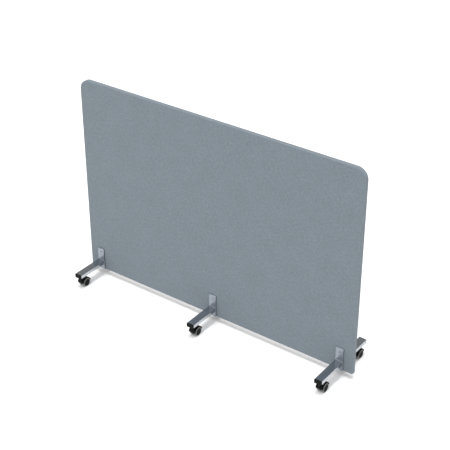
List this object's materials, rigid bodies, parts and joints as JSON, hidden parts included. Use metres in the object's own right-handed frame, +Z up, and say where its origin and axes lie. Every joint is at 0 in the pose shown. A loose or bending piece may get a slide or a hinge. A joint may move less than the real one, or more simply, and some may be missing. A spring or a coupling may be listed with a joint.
{
  "type": "mobile partition wall",
  "caption": "Free-standing fabric-covered partition panel with rounded top corners, clamped between flat brackets on box-section cross feet with swivelling twin-wheel castors.",
  "frame": {"origin": "on the floor under the middle of the panel", "axes": "+X along the panel, +Z up, -Y towards the side the picture was taken from"},
  "size_m": [1.8, 0.448, 1.23],
  "materials": {
    "fabric": "grey-blue melange upholstery cloth, matt",
    "board": "plain fibreboard, unfinished",
    "timber": "planed softwood, unfinished",
    "infill": "light insulating fibreboard",
    "silver": "silver metallic powder coat, semi-gloss",
    "cap": "black moulded plastic",
    "steel": "bright zinc-plated steel",
    "hood": "black moulded nylon, satin",
    "wheel": "black moulded nylon"
  },
  "bodies": {
    "stand": {"fabric_cover": "fabric", "front_board": "board", "rear_board": "board", "bottom_rail": "timber", "top_rail": "timber", "left_stile": "timber", "middle_stile": "timber", "right_stile": "timber", "infill_boards": "infill", "front_left_bracket": "silver", "front_left_arm": "silver", "front_left_end_cap": "cap", "front_left_castor_stem": "steel", "rear_left_bracket": "silver", "rear_left_arm": "silver", "rear_left_end_cap": "cap", "rear_left_castor_stem": "steel", "front_middle_bracket": "silver", "front_middle_arm": "silver", "front_middle_end_cap": "cap", "front_middle_castor_stem": "steel", "rear_middle_bracket": "silver", "rear_middle_arm": "silver", "rear_middle_end_cap": "cap", "rear_middle_castor_stem": "steel", "front_right_bracket": "silver", "front_right_arm": "silver", "front_right_end_cap": "cap", "front_right_castor_stem": "steel", "rear_right_bracket": "silver", "rear_right_arm": "silver", "rear_right_end_cap": "cap", "rear_right_castor_stem": "steel", "bracket_bolts": "steel", "bracket_nuts": "steel"},
    "front_left_castor": {"front_left_castor_hood": "hood", "front_left_castor_axle": "steel"},
    "front_left_wheel_a": {"front_left_wheel_a": "wheel"},
    "front_left_wheel_b": {"front_left_wheel_b": "wheel"},
    "rear_left_castor": {"rear_left_castor_hood": "hood", "rear_left_castor_axle": "steel"},
    "rear_left_wheel_a": {"rear_left_wheel_a": "wheel"},
    "rear_left_wheel_b": {"rear_left_wheel_b": "wheel"},
    "front_middle_castor": {"front_middle_castor_hood": "hood", "front_middle_castor_axle": "steel"},
    "front_middle_wheel_a": {"front_middle_wheel_a": "wheel"},
    "front_middle_wheel_b": {"front_middle_wheel_b": "wheel"},
    "rear_middle_castor": {"rear_middle_castor_hood": "hood", "rear_middle_castor_axle": "steel"},
    "rear_middle_wheel_a": {"rear_middle_wheel_a": "wheel"},
    "rear_middle_wheel_b": {"rear_middle_wheel_b": "wheel"},
    "front_right_castor": {"front_right_castor_hood": "hood", "front_right_castor_axle": "steel"},
    "front_right_wheel_a": {"front_right_wheel_a": "wheel"},
    "front_right_wheel_b": {"front_right_wheel_b": "wheel"},
    "rear_right_castor": {"rear_right_castor_hood": "hood", "rear_right_castor_axle": "steel"},
    "rear_right_wheel_a": {"rear_right_wheel_a": "wheel"},
    "rear_right_wheel_b": {"rear_right_wheel_b": "wheel"}
  },
  "joints": [
    {"name": "front_left_swivel", "type": "hinge", "parent": "stand", "child": "front_left_castor", "pos_m": [-0.82, -0.197, 0.07], "axis": [0, 0, 1], "continuous": true},
    {"name": "front_left_wheel_a_spin", "type": "hinge", "parent": "front_left_castor", "child": "front_left_wheel_a", "pos_m": [-0.82, -0.175, 0.025], "axis": [1, 0, 0], "continuous": true},
    {"name": "front_left_wheel_b_spin", "type": "hinge", "parent": "front_left_castor", "child": "front_left_wheel_b", "pos_m": [-0.82, -0.175, 0.025], "axis": [1, 0, 0], "continuous": true},
    {"name": "rear_left_swivel", "type": "hinge", "parent": "stand", "child": "rear_left_castor", "pos_m": [-0.82, 0.197, 0.07], "axis": [0, 0, 1], "continuous": true},
    {"name": "rear_left_wheel_a_spin", "type": "hinge", "parent": "rear_left_castor", "child": "rear_left_wheel_a", "pos_m": [-0.82, 0.175, 0.025], "axis": [1, 0, 0], "continuous": true},
    {"name": "rear_left_wheel_b_spin", "type": "hinge", "parent": "rear_left_castor", "child": "rear_left_wheel_b", "pos_m": [-0.82, 0.175, 0.025], "axis": [1, 0, 0], "continuous": true},
    {"name": "front_middle_swivel", "type": "hinge", "parent": "stand", "child": "front_middle_castor", "pos_m": [0, -0.197, 0.07], "axis": [0, 0, 1], "continuous": true},
    {"name": "front_middle_wheel_a_spin", "type": "hinge", "parent": "front_middle_castor", "child": "front_middle_wheel_a", "pos_m": [0, -0.175, 0.025], "axis": [1, 0, 0], "continuous": true},
    {"name": "front_middle_wheel_b_spin", "type": "hinge", "parent": "front_middle_castor", "child": "front_middle_wheel_b", "pos_m": [0, -0.175, 0.025], "axis": [1, 0, 0], "continuous": true},
    {"name": "rear_middle_swivel", "type": "hinge", "parent": "stand", "child": "rear_middle_castor", "pos_m": [0, 0.197, 0.07], "axis": [0, 0, 1], "continuous": true},
    {"name": "rear_middle_wheel_a_spin", "type": "hinge", "parent": "rear_middle_castor", "child": "rear_middle_wheel_a", "pos_m": [0, 0.175, 0.025], "axis": [1, 0, 0], "continuous": true},
    {"name": "rear_middle_wheel_b_spin", "type": "hinge", "parent": "rear_middle_castor", "child": "rear_middle_wheel_b", "pos_m": [0, 0.175, 0.025], "axis": [1, 0, 0], "continuous": true},
    {"name": "front_right_swivel", "type": "hinge", "parent": "stand", "child": "front_right_castor", "pos_m": [0.82, -0.197, 0.07], "axis": [0, 0, 1], "continuous": true},
    {"name": "front_right_wheel_a_spin", "type": "hinge", "parent": "front_right_castor", "child": "front_right_wheel_a", "pos_m": [0.82, -0.175, 0.025], "axis": [1, 0, 0], "continuous": true},
    {"name": "front_right_wheel_b_spin", "type": "hinge", "parent": "front_right_castor", "child": "front_right_wheel_b", "pos_m": [0.82, -0.175, 0.025], "axis": [1, 0, 0], "continuous": true},
    {"name": "rear_right_swivel", "type": "hinge", "parent": "stand", "child": "rear_right_castor", "pos_m": [0.82, 0.197, 0.07], "axis": [0, 0, 1], "continuous": true},
    {"name": "rear_right_wheel_a_spin", "type": "hinge", "parent": "rear_right_castor", "child": "rear_right_wheel_a", "pos_m": [0.82, 0.175, 0.025], "axis": [1, 0, 0], "continuous": true},
    {"name": "rear_right_wheel_b_spin", "type": "hinge", "parent": "rear_right_castor", "child": "rear_right_wheel_b", "pos_m": [0.82, 0.175, 0.025], "axis": [1, 0, 0], "continuous": true}
  ]
}
